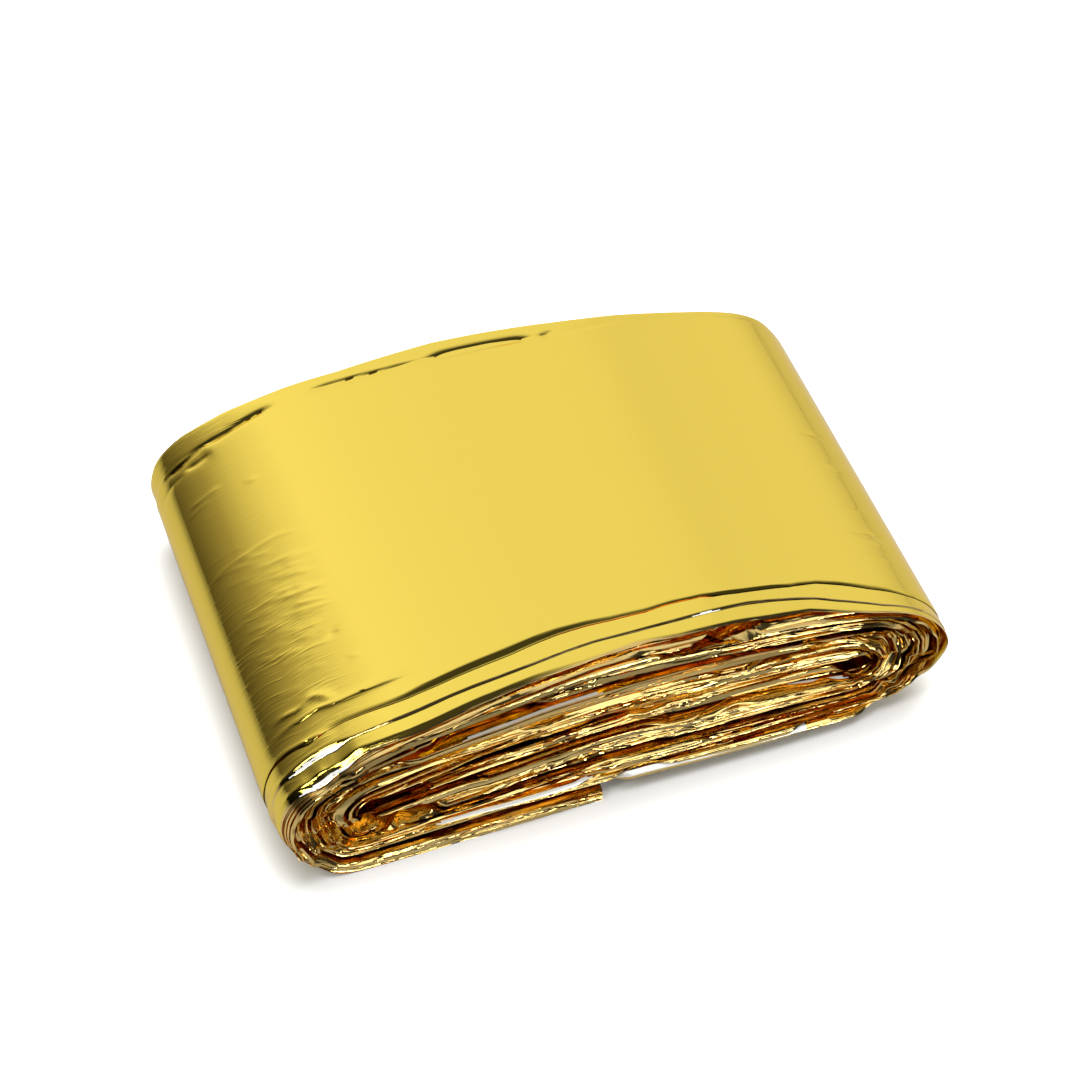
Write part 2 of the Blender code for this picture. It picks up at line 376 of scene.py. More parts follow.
# %% Ledges and slits
FACE_LINES = (
    # stands out by, fades over, silver from and to along the line, points along and up
    (1.5, 1.3, ((-32, -3),),
     ((-44, 31.9), (-37, 32.2), (-28, 32.7), (-20, 33.5), (-9, 33.8), (1, 32.9), (7, 31.7),
      (13, 30.7), (19, 29.5), (27, 29.4), (35, 28.7), (41, 27.2), (49, 24.2), (57, 21.1))),
    (1.0, 1.0, ((-24, -20), (-9, -3)),
     ((-33, 26.2), (-28, 26.5), (-20, 28.0), (-15, 29.1), (-10, 29.1), (-5, 28.4), (3, 26.6),
      (15, 24.1), (27, 20.9), (35, 19.0))),
    (0.9, 0.8, (), ((15, 27.4), (23, 27.0), (29, 26.6), (35, 25.9), (40, 24.4))),
    (0.8, 0.8, (), ((-11, 26.6), (-5, 25.9), (3, 23.0))),
    (1.5, 1.5, (), ((5, 18.7), (11, 18.0), (15, 16.9), (24, 14.5))),
    (1.0, 1.0, ((34, 48),), ((23, 19.4), (31, 17.2), (40, 14.8), (46, 13.1), (52, 11.2))),
    (1.4, 1.6, ((-36, -4),), ((-40, 5.3), (-36, 5.7), (-28, 6.7), (-16, 6.6), (-8, 7.0), (-4, 7.6))),
    (1.8, 1.5, (), ((-2, 6.3), (4, 6.6), (8, 6.3), (16, 4.4), (24, 3.0), (32, 2.2), (41, 1.4))),
    (-2.5, 0.5, (), ((-38, 30.6), (-31, 30.7), (-26, 31.1), (-20, 31.4), (-13, 31.8))),
    (-5.0, 0.7, (), ((24, 26.6), (31, 26.3), (40, 24.4), (50, 21.0))),
    (-3.0, 0.3, (), ((31, 20.6), (42, 17.4), (50, 14.5))),
    (-7.0, 0.8, (), ((-56, 14.7), (-49, 14.7), (-37, 15.7), (-31, 15.8), (-25, 15.1))),
    (-2.5, 0.3, (), ((-33, 21.7), (-24, 21.5), (-16, 21.1), (-13, 20.7))),
    (-2.5, 0.4, (), ((-10, 18.1), (0, 16.0), (8, 14.7), (16, 13.7))),
    (-4.0, 0.3, (), ((-8, 23.9), (0, 21.3), (4, 18.9))),
    (-3.0, 0.6, (), ((-1, 4.9), (4, 4.8), (8, 4.6), (12, 3.2))),
    (-2.0, 0.5, (), ((-24, 10.8), (-10, 11.0), (0, 10.2), (12, 8.6))),
)
print(len(FACE_LINES), "lines measured on the near side")

# %% Bend the folds along these lines
FOLD_HEIGHT = 0.24  # from one fold edge to the next, in mm
ABOVE = 0.4  # how much of a ledge's overhang the folds above it follow,
FADE_ABOVE = 0.6  # and over how many mm
LINE_END = 6  # a line fades in and out over this many mm
SILVER_END = 3  # and its silver over this many
SILVER_WIDTH = 0.5 * MM
SILVER_ROUNDING = 0.9 * MM  # a turned edge is rounder than the rest
SILVER_BASE = 1.4  # and thicker
PASS_REACH = 0.4  # a line stays on one pass of the strip, within this many turns of where it is
MARGIN = 0.8 * MM  # off the top all folds stand this much further in, which leaves room for the ledges

silver_to = np.full((len(run), FRONT_FOLDS), -1.0)  # how far behind its edge each fold shows silver
levels_down = (np.arange(FRONT_FOLDS) + 0.5) / FRONT_FOLDS
outwards = 1 - (pitches_in[:, None] + FILL * levels_down) / PITCHES
fold_x = (spine[:, :1] + (outline - spine)[:, :1] * outwards) / MM
fold_z = (spine[:, 1:] + (outline - spine)[:, 1:] * outwards) / MM
half = np.sign(outline[:, 1] - spine[:, 1])  # +1 in the upper half of a turn, -1 in the lower
for out, fade, silver_parts, points in FACE_LINES:
    xs, zs = np.array(points, dtype=float).T
    middle = (xs[0] + xs[-1]) / 2
    away = np.hypot(fold_x - middle, 3 * (fold_z - np.interp(middle, xs, zs)))
    row, leader = np.unravel_index(np.argmin(away), away.shape)
    on_this_pass = (np.abs(turns - turns[row]) < PASS_REACH) * (half == half[row])
    x = fold_x[:, leader]
    ends = smooth((x - xs[0]) / LINE_END) * smooth((xs[-1] - x) / LINE_END) * on_this_pass
    for fold in range(FRONT_FOLDS):
        below = (fold - leader) * half[row] * FOLD_HEIGHT
        if out <= 0:
            change = -out * np.exp(-np.abs(below) / fade)
        elif below >= 0:
            change = -out * np.exp(-below / fade)
        else:
            change = ABOVE * out * np.exp(below / FADE_ABOVE)
        steps_kept = 1 - on_top * (fold < len(STEPS) + 1)
        front_lines[:, fold] += change * MM * ends * steps_kept
    for start, end in silver_parts:
        turned = smooth((x - start) / SILVER_END) * smooth((end - x) / SILVER_END) * (ends > 0)
        silver_to[turned > 0, leader] = (SILVER_WIDTH * turned)[turned > 0]
        front["rounding"][:, leader] += (SILVER_ROUNDING - front["rounding"][:, leader]) * turned
        front["base"][:, leader] += (SILVER_BASE - front["base"][:, leader]) * turned
    print(f"line at {middle:.0f} mm along: turn {turns[row]:.2f}, fold {leader}")
front_lines += MARGIN * (1 - on_top)[:, None]
front_lines[:] = np.maximum(front_lines, 0.0)

# %% [markdown]
# Two more places show silver. At the lower right the strip's lowest fold stands out from under the
# bundle and has turned over. On the three steps only the very edge has turned up, as slivers near the
# left end and right of the middle.

# %% The lowest fold, and slivers on the steps
LOWEST_BACK = 0.25 * MM
LOWEST_SILVER = 0.9 * MM
LOWEST_SILVER_END = 0.30  # as a share of the bundle's length
LOWEST_ROUNDING = 1.0 * MM
LOWEST_BASE = 1.6
SLIVERS = (
    # along from and to in mm, step, width in mm
    (-63, -51, 1, 0.6),
    (-63, -51, 2, 0.9),
    (15, 22, 1, 0.3),
)

lowest_right = smooth((turns - 0.86) / 0.05) * smooth((along + 0.02) / 0.04) * (turns < 1.03)
front_lines[:, 0] += (LOWEST_BACK - front_lines[:, 0]) * lowest_right
silver_to[(lowest_right > 0.5) & (along < LOWEST_SILVER_END), 0] = LOWEST_SILVER
front["rounding"][:, 0] += (LOWEST_ROUNDING - front["rounding"][:, 0]) * lowest_right
front["base"][:, 0] += (LOWEST_BASE - front["base"][:, 0]) * lowest_right
for start, end, fold, sliver in SLIVERS:
    here = (on_top > 0.9) & (mm_along > start) & (mm_along < end)
    passed = (mm_along[here] - start) / (end - start)
    silver_to[here, fold] = sliver * MM * np.sin(math.pi * passed)
print("rows with a silver edge:", int((silver_to > 0).any(axis=1).sum()))


# %% [markdown]
# ## From folds to levels
#
# At any depth behind the front edge, the strip's thickness is shared out among the folds that reach that
# far. Each takes its base, more where it puffs up, nothing in front of its own edge, and slits of air lie
# in between. Shared out like this, the folds can never cut through each other, however uneven they are.

# %% Levels across the strip
NOSE = 1.7  # how blunt a round fold is
SWELL = 0.04  # how much thicker the strip is at its edges,
SWELL_LENGTH = 6 * MM  # and over how far


def slope(share):
    """0 to 1 at an even slope, rounded off over a tenth of it at its start and its end."""
    start = np.clip(share, 0.0, 0.1)
    end = np.clip(1 - share, 0.0, 0.1)
    return (start**2 / 0.2 + np.clip(share, 0.1, 0.9) - 0.05 - end**2 / 0.2) / 0.9


def levels(depth, side, rows):
    """Where each fold starts and ends across the strip at this depth, from its outer face (0) inwards."""
    behind = depth[:, None] - side["lines"][rows]
    share = np.clip(behind / side["rounding"][rows], 0.0, 1.0)
    nose = 1 - (1 - share) ** NOSE
    opened = nose + (slope(share) - nose) * side["bevel"][rows]
    puffed = side["puff"][rows] * np.exp(-np.clip(behind, 0, None) / PUFF_LENGTH)
    film = side["base"][rows] * opened * (1 + puffed)
    nearest = np.clip(np.minimum(behind[:, :-1], behind[:, 1:]), 0, None)
    air = side["air"][rows] * np.exp(-nearest / AIR_LENGTH) * np.minimum(opened[:, :-1], opened[:, 1:])
    missing = side["base"][rows] * (1 - opened) * side["room"][rows]
    weight = np.zeros((len(depth), 2 * film.shape[1] + 1))
    weight[:, 1::2] = film + 1e-6
    weight[:, 2:-1:2] = air
    weight[:, 0:-1:2] += missing / 2
    weight[:, 2::2] += missing / 2
    reach = 1 + SWELL * np.exp(-depth / SWELL_LENGTH) * (1 - on_top[rows])
    sunk = (side["drop"][rows] * (1 - opened)).sum(axis=1)
    scale = (reach - sunk) / weight.sum(axis=1)
    ends = (sunk - (reach - 1) / 2)[:, None] + np.cumsum(weight, axis=1) * scale[:, None]
    return ends[:, 0:-1:2], ends[:, 1::2]


# %% [markdown]
# ## Crushed film
#
# Thin metallised film doesn't bend softly. It breaks into flat facets that meet in straight creases. A
# noise whose values are joined by flat triangles has just that look, where Blender's smooth noise would
# look like melted wax.

# %% Facet noise
TABLE_SIZE = 512
TABLE = rng.uniform(-1.0, 1.0, (TABLE_SIZE, TABLE_SIZE))


def facets(across, up, layer):
    """Heights from -1 to 1 made of flat triangles, one unit wide; layer picks another pattern."""
    across = across + 0.37 * up + 17.3 * layer
    up = up + 31.7 * layer
    left = np.floor(across).astype(int)
    low = np.floor(up).astype(int)
    right_share = across - left
    up_share = up - low
    corner = [
        TABLE[(left + i) % TABLE_SIZE, (low + j) % TABLE_SIZE]
        for i, j in ((0, 0), (1, 0), (0, 1), (1, 1))
    ]
    lower = corner[0] + (corner[1] - corner[0]) * right_share + (corner[3] - corner[1]) * up_share
    upper = corner[0] + (corner[2] - corner[0]) * up_share + (corner[3] - corner[2]) * right_share
    return np.where(right_share > up_share, lower, upper)


line = np.linspace(0, 40, 400)
sample = facets(line, 0.3 * line, 1)
print(f"facet heights along a line: {sample.min():.2f} to {sample.max():.2f}")

# %% [markdown]
# ## Crumples and hollows on the near side
#
# The near side isn't even. In a few places the folds were crushed together into small facets, and in a few
# others they part and leave a dark hollow, as at both ends of the core. Each is an oval with a strength.

# %% Crumples and hollows
CRUMPLES = (
    # along, up, half length, half height, strength
    (-8, 13, 7, 2.5, 0.8),
    (-3, 8, 3, 2.5, 0.8),
    (-54, 26, 6, 2.5, 1.0),
    (4, 20, 3, 2.0, 0.8),
    (49, 4, 4, 2.0, 0.8),
    (-58, 12, 6, 8.0, 1.5),
    (57, 15, 7, 10.0, 1.6),
)
HOLLOWS = (
    # along, up, half length, half height, depth
    (-41, 10.6, 5.0, 1.9, 9.0),
    (-51, 11.5, 8.0, 1.1, 6.0),
    (40.5, 25.4, 8.0, 1.0, 7.0),
    (18.0, 36.0, 8.0, 0.7, 9.0),
)
CORE_OPENING = 0.15  # the core gapes by this share of the way to the outline, at the near side,
CORE_DEPTH = 24 * MM  # and this far in
OVAL_EDGE = 1.5  # an oval's strength fades to nothing at this many times its size


def oval_sum(ovals, x, z):
    """The strengths of these ovals at points of the near side."""
    total = np.zeros(len(x))
    for along_mm, up_mm, half_length, half_height, strength in ovals:
        far = np.hypot((x / MM - along_mm) / half_length, (z / MM - up_mm) / half_height)
        total += strength * smooth(OVAL_EDGE - far)
    return total


print(len(CRUMPLES), "crumples and", len(HOLLOWS), "hollows")

# %% [markdown]
# ## Creases in the outermost ply
#
# The top ply is stretched over the bundle and nearly flat, so every crease in it shows. Each is drawn in
# plan, as points along and across the bundle in millimetres, with a height and a width. A crease is a
# ridge or a valley with a sharp middle, which fades out at both ends. The long ones were measured. The
# hairlines round the left shoulder are scattered, because the real ones are countless.

# %% Creases drawn in plan
CREASES = [
    # points, height, width
    (((-64, -32.6), (-58, -31.8), (-53.5, -31.5), (-50, -32.2), (-40, -32.9), (-34, -33.3)),
     0.36, 0.65),
    (((-34, -33.3), (-18, -32.2), (0, -31.4), (20, -31.1), (24, -31.0)), 0.05, 0.35),
    (((22, -31.0), (37, -32.0), (45, -32.8), (58, -33.4)), 0.07, 0.4),
    (((20.5, -34.6), (28, -35.1), (36.4, -35.3)), 0.22, 0.4),
    (((36.0, -35.2), (36.9, -36.8)), 0.15, 0.4),
    (((42.8, -35.0), (52, -36.6), (59, -37.7)), 0.08, 0.4),
    (((-62, -29.5), (-59.6, -29.1), (-56.3, -29.6), (-53.9, -28.2), (-52.1, -28.9), (-49.6, -32.0)),
     0.36, 0.65),
    (((-65.5, -36.6), (-61, -36.6), (-56.7, -37.0), (-51, -37.8)), 0.36, 0.65),
    (((-65.5, -41.2), (-62.4, -41.0), (-57, -40.6), (-52.7, -41.6)), 0.36, 0.65),
    (((-65, -44.6), (-58.7, -44.3), (-52, -45.0)), 0.36, 0.65),
    (((-64.5, 41.4), (-60.8, 40.9), (-57.9, 41.6), (-55, 42.3)), -0.60, 0.7),
    (((-60.5, 39.2), (-57.5, 38.8), (-54.6, 39.6)), -0.50, 0.8),
    (((-66, 37.5), (-63, 38.5), (-60, 38.2)), -0.18, 0.7),
    (((-61.9, 29.4), (-58.7, 29.5), (-55.0, 30.1)), 0.13, 0.4),
    (((-62.5, 27.4), (-59.5, 27.8), (-57.5, 28.0)), 0.06, 0.35),
    (((-64.0, 9.0), (-59.9, 10.3), (-53.3, 10.9), (-46.5, 11.8)), 0.10, 0.4),
    (((-50.5, 28.2), (-48.1, 26.6)), 0.06, 0.4),
    (((-60.0, -9.0), (-56.5, -10.6)), 0.07, 0.35),
    (((-60.2, -14.4), (-55.7, -16.2), (-51.0, -17.3)), 0.08, 0.35),
    (((-46.8, -16.6), (-45.4, -17.2)), -0.12, 0.6),
    (((-44.9, -23.4), (-42.6, -25.0)), 0.06, 0.5),
    (((-58.0, 42.3), (-52, 42.2), (-46.5, 43.1), (-40, 43.6)), -0.65, 0.60),
    (((-36, 43.7), (-30, 43.1), (-24, 42.6), (-17.5, 42.0), (-9, 41.8)), -0.40, 0.45),
    (((-12, 41.9), (-4, 41.8), (3, 41.6), (14.2, 41.1)), -0.80, 0.80),
    (((13.8, 42.0), (14.6, 40.6), (16.0, 41.6), (17, 40.9)), -0.45, 0.4),
    (((16, 41.2), (24, 41.4), (34, 42.4), (44, 43.0)), -0.12, 0.4),
    (((-34, 42.6), (-20, 40.9), (-4, 40.6), (8, 40.2)), -0.06, 0.35),
    (((55, 7.0), (59, 6.2), (62.5, 6.6)), -0.10, 0.5),
    (((57, -2.0), (60.5, -3.4), (63, -3.2)), 0.10, 0.5),
    (((52, -15.0), (57, -15.8), (61, -15.4)), 0.06, 0.4),
    (((54, -22.5), (58.5, -22.0), (62, -23.0)), -0.14, 0.5),
    (((53.5, -24.8), (58, -24.2), (61.5, -25.0)), 0.10, 0.45),
    (((50, -28.4), (57, -28.9), (63, -29.6)), 0.06, 0.4),
]
HAIRLINES = 70
HAIRLINE_WIDTH = 0.4
DENTS = 26
DENT_HEIGHT = 0.02
DENT_WIDTH = 0.8

print(len(CREASES), "creases drawn")

# %% Scattered hairlines and dents
for _ in range(HAIRLINES):
    start = rng.uniform(-63, -49)
    across = rng.normal(-5, 12)
    length = rng.uniform(2.5, 10)
    slant = rng.uniform(-0.40, 0.08)
    bend = rng.normal(0, 0.06) * length
    middle = (start + length / 2, across + slant * length / 2 + bend)
    end = (start + length, across + slant * length)
    height = rng.uniform(0.02, 0.06)
    CREASES.append((((start, across), middle, end), height, HAIRLINE_WIDTH))
for _ in range(DENTS):
    start = rng.uniform(-45, 55)
    across = rng.uniform(-25, 38)
    length = rng.uniform(2, 6)
    end = (start + length, across + rng.normal(0, 0.5))
    height = rng.choice((-DENT_HEIGHT, DENT_HEIGHT))
    CREASES.append((((start, across), end), height, DENT_WIDTH))
print(len(CREASES), "creases on the outermost ply")


# %% Relief from the creases
REACH = 6  # a crease is looked at within this many times its width
CREASE_END = 0.25  # and fades out over this share of its length


def relief(x, y):
    """How far the creases lift the film at points seen in plan."""
    lift = np.zeros(x.shape)
    x, y = x / MM, y / MM
    for points, height, width in CREASES:
        points = np.array(points, dtype=float)
        reach = REACH * width
        low, high = points.min(axis=0) - reach, points.max(axis=0) + reach
        near = (x > low[0]) & (x < high[0]) & (y > low[1]) & (y < high[1])
        if not near.any():
            continue
        px, py = x[near], y[near]
        steps = np.linalg.norm(np.diff(points, axis=0), axis=1)
        starts = np.concatenate(((0.0,), np.cumsum(steps)))
        best = np.full(px.shape, 1e9)
        fade = np.zeros(px.shape)
        for start, end, step, passed in zip(points, points[1:], steps, starts):
            way_x, way_y = end - start
            share = ((px - start[0]) * way_x + (py - start[1]) * way_y) / step**2
            share = np.clip(share, 0.0, 1.0)
            away = np.hypot(px - start[0] - share * way_x, py - start[1] - share * way_y)
            place_along = (passed + share * step) / starts[-1]
            closer = away < best
            best = np.where(closer, away, best)
            fade = np.where(closer, smooth(np.minimum(place_along, 1 - place_along) / CREASE_END), fade)
        lift[near] += height * MM * fade * np.exp(-best / width)
    return lift


# %% [markdown]
# ## The whole sheet as one grid
#
# The columns of the grid follow the film from its first cut edge, to and fro through every ply, to its
# last one. They stand close together near the folds, where the film bends, and far apart in between. Only
# the outermost ply of the first turn has columns all the way across, because it lies in the open. The
# plies under it have more columns where the steps, the ledges and the long creases at the back show.

# %% Columns of points across the folded film
# Distances behind the fold's edge, at the front and at the back, plain and where more is seen of them.
FRONT_STOPS = np.array((0.10, 0.32, 0.8, 1.9, 4.2, 9.0)) * MM
LEDGE_STOPS = np.array((0.10, 0.25, 0.45, 0.7, 0.95, 1.2, 1.5, 1.9, 2.4, 4.2, 9.0)) * MM
BACK_STOPS = np.array((0.6, 2.4, 8.0)) * MM
BACK_LEDGE_STOPS = np.array((0.3, 0.8, 1.3, 1.8, 2.2, 2.6, 3.0, 3.4, 3.8, 4.2, 4.6, 5.2, 8.0)) * MM
OPEN_SHARES = np.linspace(0.0, 1.0, 250)
STEP_PLIES = 7  # the plies before this one come to light on the steps
LEDGE_PLIES = (2, 3, 4, 5)
STRIP_WIDTH = 93 * MM
EDGE_TAPER = 0.030  # each long edge leans in by this share of the distance along the bundle
TURN_SETBACK = np.array((0.0, 0.9, 0.2, 1.3, 0.5, 1.5, 0.9)) * MM  # the turns slid as they were wound


def ply_columns(ply, in_the_open=False, first_turn=False):
    """The columns of one ply, in the order in which the film runs."""
    if in_the_open:
        inward = [("front", stop) for stop in FRONT_STOPS[:3]]
        inward += [("open", share) for share in OPEN_SHARES]
        inward += [("back", 0.3 * MM)]
    else:
        front_stops = LEDGE_STOPS if ply in LEDGE_PLIES else FRONT_STOPS
        back_stops = BACK_LEDGE_STOPS if first_turn and 1 <= ply < STEP_PLIES else BACK_STOPS
        inward = [("front", stop) for stop in front_stops]
        inward += [("middle", 0.5)]
        inward += [("back", stop) for stop in back_stops[::-1]]
    if ply % 2 == 0:
        return [(ply, side, stop) for side, stop in inward[::-1]] + [(ply, "front", 0.0)]
    return [(ply, side, stop) for side, stop in inward] + [(ply, "back", 0.0)]


open_columns = [(0, "back", 0.0)] + ply_columns(0, in_the_open=True)
under_columns = open_columns[-1:]
all_columns = [(0, "back", 0.0)] + ply_columns(0)
for ply in range(1, PLIES):
    under_columns += ply_columns(ply, first_turn=True)
    all_columns += ply_columns(ply)
print(len(open_columns), "columns across the outermost ply,", len(all_columns), "across all plies inside")

slid = np.interp(turns, np.arange(len(TURN_SETBACK)), TURN_SETBACK)
width = STRIP_WIDTH - 2 * EDGE_TAPER * outline[:, 0] - 2 * slid


# %% [markdown]
# Each column stays at one distance behind the edge of its own fold, so it wanders with that fold. The two
# plies of a fold nearly touch its neighbours and leave a little air between themselves, the more so the
# further they are from the edge. The flat plies under the steps are pressed a little further in, so that
# no inner ply can shine through the outermost one.

# %% One column of the folded film
EDGE_AIR = 0.07  # how far a ply lies from its side of the fold near the edge, as a share of the fold,
DEEP_AIR = 0.18  # how much is added further in,
BUNDLE_EDGE_AIR = 0.25  # and the share for the outermost and innermost plies at the back
DEEP = 9 * MM
PRESSED = 0.11  # how far the plies under the outermost one are pressed in, on top
PUSH = 0.12  # how far dents push a ply into its fold
DENT = (16 * MM, 2.0 * MM)  # how long and how deep one dent is
DENT_FADE = 4 * MM
OPEN_INSET = (1.2 * MM, 0.7 * MM)  # the open part of the outermost ply starts this far from its folds


def column_points(column, rows):
    """Its depth behind the front edge and its level across the strip, for these rows."""
    ply, side, stop = column
    fold = ply // 2
    group = (ply + 1) // 2
    pressed = PRESSED * on_top[rows] * min(ply, 1)
    if side == "middle":
        level = (ply + 0.5) / PLIES
        return width[rows] * stop, level + pressed * (1 - level)
    if side == "open":
        start = front_lines[rows][:, 0] + OPEN_INSET[0]
        end = width[rows] - back_lines[rows][:, 0] - OPEN_INSET[1]
        depth = start + (end - start) * stop
        outer_front, inner_front = levels(depth, front, rows)
        outer_back, inner_back = levels(width[rows] - depth, back, rows)
        level_front = 0.9 * outer_front[:, 0] + 0.1 * inner_front[:, 0]
        level_back = 0.8 * outer_back[:, 0] + 0.2 * inner_back[:, 0]
        return depth, level_front + (level_back - level_front) * smooth((stop - 0.3) / 0.4)
    edge_number = fold if side == "front" else group
    shape = front if side == "front" else back
    depth = shape["lines"][rows][:, edge_number] + stop
    outer, inner = levels(depth, shape, rows)
    outer, inner = outer[:, edge_number], inner[:, edge_number]
    upper = ply % 2 == (0 if side == "front" else 1)
    thickness = inner - outer
    apart = EDGE_AIR + DEEP_AIR * smooth(stop / DEEP)
    if side == "back" and group in (0, BACK_GROUPS - 1):
        apart = BUNDLE_EDGE_AIR
    if stop == 0.0:
        apart = 0.5
    level = outer + thickness * apart if upper else inner - thickness * apart
    if ply > 0 or side == "front":
        calm = on_top[rows] if fold == 0 else 0.0
        dent = 0.5 + 0.5 * facets(run[rows] / DENT[0], depth / DENT[1], ply)
        push = PUSH * thickness * dent * np.exp(-stop / DENT_FADE) * (stop > 0) * (1 - calm)
        level = level + push if upper else level - push
    level = level + pressed * (1 - level) * smooth(stop / DEEP)
    if side == "back":
        depth = width[rows] - depth
    return depth, level


# %% [markdown]
# Winding puts each point between the outline and the spine. After that the near side gets its uneven
# height, its crumples and its hollows, which fade out towards the middle of the strip. Crumples are noise
# in space, not on the film, so that neighbouring plies are crushed together.

# %% Wind it
CORE_RAMP = 15 * MM  # the innermost turn thins down over this far at each end of the spine
CORE_SHUT = 0.02  # the share of the way to the outline that the core keeps deep inside
EDGE_ZONE = 8 * MM  # unevenness fades out over this far from both long edges
CRUMPLED_FROM = 0.4  # on top, film is crumpled from this level across the strip on,
CALM_FADE = 0.3  # and calm at this much less
LIES_UP_TO = 0.3 * MM  # film no higher than this lies on the surface and stays there,
LIES_FADE = 3 * MM  # and film this much higher moves freely
SAG = 0.9 * MM  # large facets, up and down
SAG_SIZE = (38 * MM, 14 * MM)
CRUSH = 0.5 * MM  # crumples, up and down
CRUSH_SIZE = (2.6 * MM, 1.3 * MM, 2.5 * MM)
SLIDE = 0.5 * MM  # large facets, in and out
SLIDE_SIZE = (22 * MM, 5 * MM)
DENTED = 0.9 * MM  # crumples, in and out
DENTED_SIZE = (3.1 * MM, 1.5 * MM)
HOLLOW_DEPTH = 14 * MM
LOOSE_END_SKEW = 4.6 * MM  # the loose end is cut askew by this much to either side,
LOOSE_END_FADE = 9 * MM  # which fades over this far
RAGGED = 3.0 * MM  # the strip's inner end is ragged
RAGGED_SIZE = 30 * MM
RAGGED_FADE = 8 * MM


def wind(column, rows):
    """Points in the frame for one column of the film."""
    ply, side, stop = column
    depth, level = column_points(column, rows)
    outer = 1 - pitches_in[rows] / PITCHES
    from_end = np.minimum(spine[rows][:, 0] + SPINE_END, SPINE_END - spine[rows][:, 0])
    opening = CORE_SHUT + (CORE_OPENING - CORE_SHUT) * smooth(1.5 - depth / CORE_DEPTH)
    floor = opening - smooth(from_end / CORE_RAMP)
    inner = np.maximum(outer - FILL / PITCHES, floor)
    share = outer + (inner - outer) * level
    point = spine[rows] + (outline[rows] - spine[rows]) * share[:, None]
    x, z = point[:, 0], point[:, 1]
    near = np.exp(-((depth / EDGE_ZONE) ** 2))
    far = np.exp(-(((width[rows] - depth) / EDGE_ZONE) ** 2))
    bare = 1 - on_top[rows] * smooth((CRUMPLED_FROM - level) / CALM_FADE)
    lifted = smooth((z - LIES_UP_TO) / LIES_FADE)
    crush = oval_sum(CRUMPLES, x, z) * near * bare
    up = SAG * facets(x / SAG_SIZE[0], z / SAG_SIZE[1], 3) * (near + far) * bare
    up += CRUSH * crush * facets(x / CRUSH_SIZE[0], z / CRUSH_SIZE[1] + depth / CRUSH_SIZE[2], 5)
    deep = SLIDE * facets(x / SLIDE_SIZE[0], z / SLIDE_SIZE[1], 8) * (near - far) * bare
    deep += DENTED * crush * facets(x / DENTED_SIZE[0], z / DENTED_SIZE[1], 11)
    hollow = oval_sum(HOLLOWS, x, z) * bare * np.exp(-depth / HOLLOW_DEPTH)
    y = depth + deep + hollow * MM - width[rows] / 2
    if rows == outer_rows and (ply < STEP_PLIES or side == "front"):
        lift = relief(x, y) * on_top[rows] * (1 - level)
        x = x + outward[rows][:, 0] * lift
        z = z + outward[rows][:, 1] * lift
    skew = LOOSE_END_SKEW * y / (width[rows] / 2) * (1 - smooth(run[rows] / LOOSE_END_FADE))
    ragged = RAGGED * facets(np.full(len(x), 0.31 * ply), depth / RAGGED_SIZE, 13)
    ragged *= np.exp(-(strip_length - run[rows]) / RAGGED_FADE)
    return np.stack((x + skew + ragged, y, z + up * lifted), axis=1)


# %% The sheet in three grids
film_open = np.stack([wind(column, outer_rows) for column in open_columns], axis=1)
film_under = np.stack([wind(column, outer_rows) for column in under_columns], axis=1)
inner_rows = slice(outer_rows.stop - 1, len(run))
film_inside = np.stack([wind(column, inner_rows) for column in all_columns], axis=1)
shift_x = cad_low.x - min(film_open[..., 0].min(), film_under[..., 0].min())
for film in (film_open, film_under, film_inside):
    film[..., 0] += shift_x
    film[..., 2] = np.maximum(film[..., 2], 0.0)
    low_corner = np.round(film.min(axis=(0, 1)) / MM, 1)
    high_corner = np.round(film.max(axis=(0, 1)) / MM, 1)
    print("film from", low_corner, "to", high_corner, "mm")

# %% [markdown]
# ## The finish
#
# Metallised film is a mirror with a tint, under a thin clear lacquer. Light that meets it once comes back
# gold, light that bounces between two folds comes back orange, and after five or six bounces red-brown. A
# metallic shader does all of that by itself as long as its colour is right. The one painted shade is the
# crushed folds' darker, browner gold on the near side. What the shader does need is unevenness too fine for
# the mesh: crinkles, hairlines and dull patches. Both kinds of film use them, so they are node groups with
# their own strengths.

# %% An empty node group
def new_group(name, inputs, outputs):
    """An empty shader node group with float inputs (name, value) and float outputs."""
    group = bpy.data.node_groups.new(name, "ShaderNodeTree")
    for label, value in inputs:
        socket = group.interface.new_socket(label, in_out="INPUT", socket_type="NodeSocketFloat")
        socket.default_value = value
    for label in outputs:
        group.interface.new_socket(label, in_out="OUTPUT", socket_type="NodeSocketFloat")
    return group, group.nodes.new("NodeGroupInput"), group.nodes.new("NodeGroupOutput")


# %% Sums and soft changes
def math_node(tree, operation, first, second):
    """One sum of two numbers or sockets."""
    node = tree.nodes.new("ShaderNodeMath")
    node.operation = operation
    for socket, value in zip(node.inputs, (first, second)):
        if isinstance(value, (int, float)):
            socket.default_value = value
        else:
            tree.links.new(value, socket)
    return node.outputs["Value"]


def ramp(tree, value, start, end, low, high):
    """A soft change from low to high as the value goes from start to end."""
    change = tree.nodes.new("ShaderNodeMapRange")
    change.interpolation_type = "SMOOTHSTEP"
    for label, number in (("From Min", start), ("From Max", end), ("To Min", low), ("To Max", high)):
        change.inputs[label].default_value = number
    tree.links.new(value, change.inputs["Value"])
    return change.outputs["Result"]


# %% Noise over the flat film
def film_place(tree, scale):
    """Coordinates on the flat film, stretched: u runs along the strip and v across it, in metres."""
    flat = tree.nodes.new("ShaderNodeUVMap")
    flat.uv_map = "film"
    mapping = tree.nodes.new("ShaderNodeMapping")
    mapping.inputs["Scale"].default_value = scale
    tree.links.new(flat.outputs["UV"], mapping.inputs["Vector"])
    return mapping.outputs["Vector"]


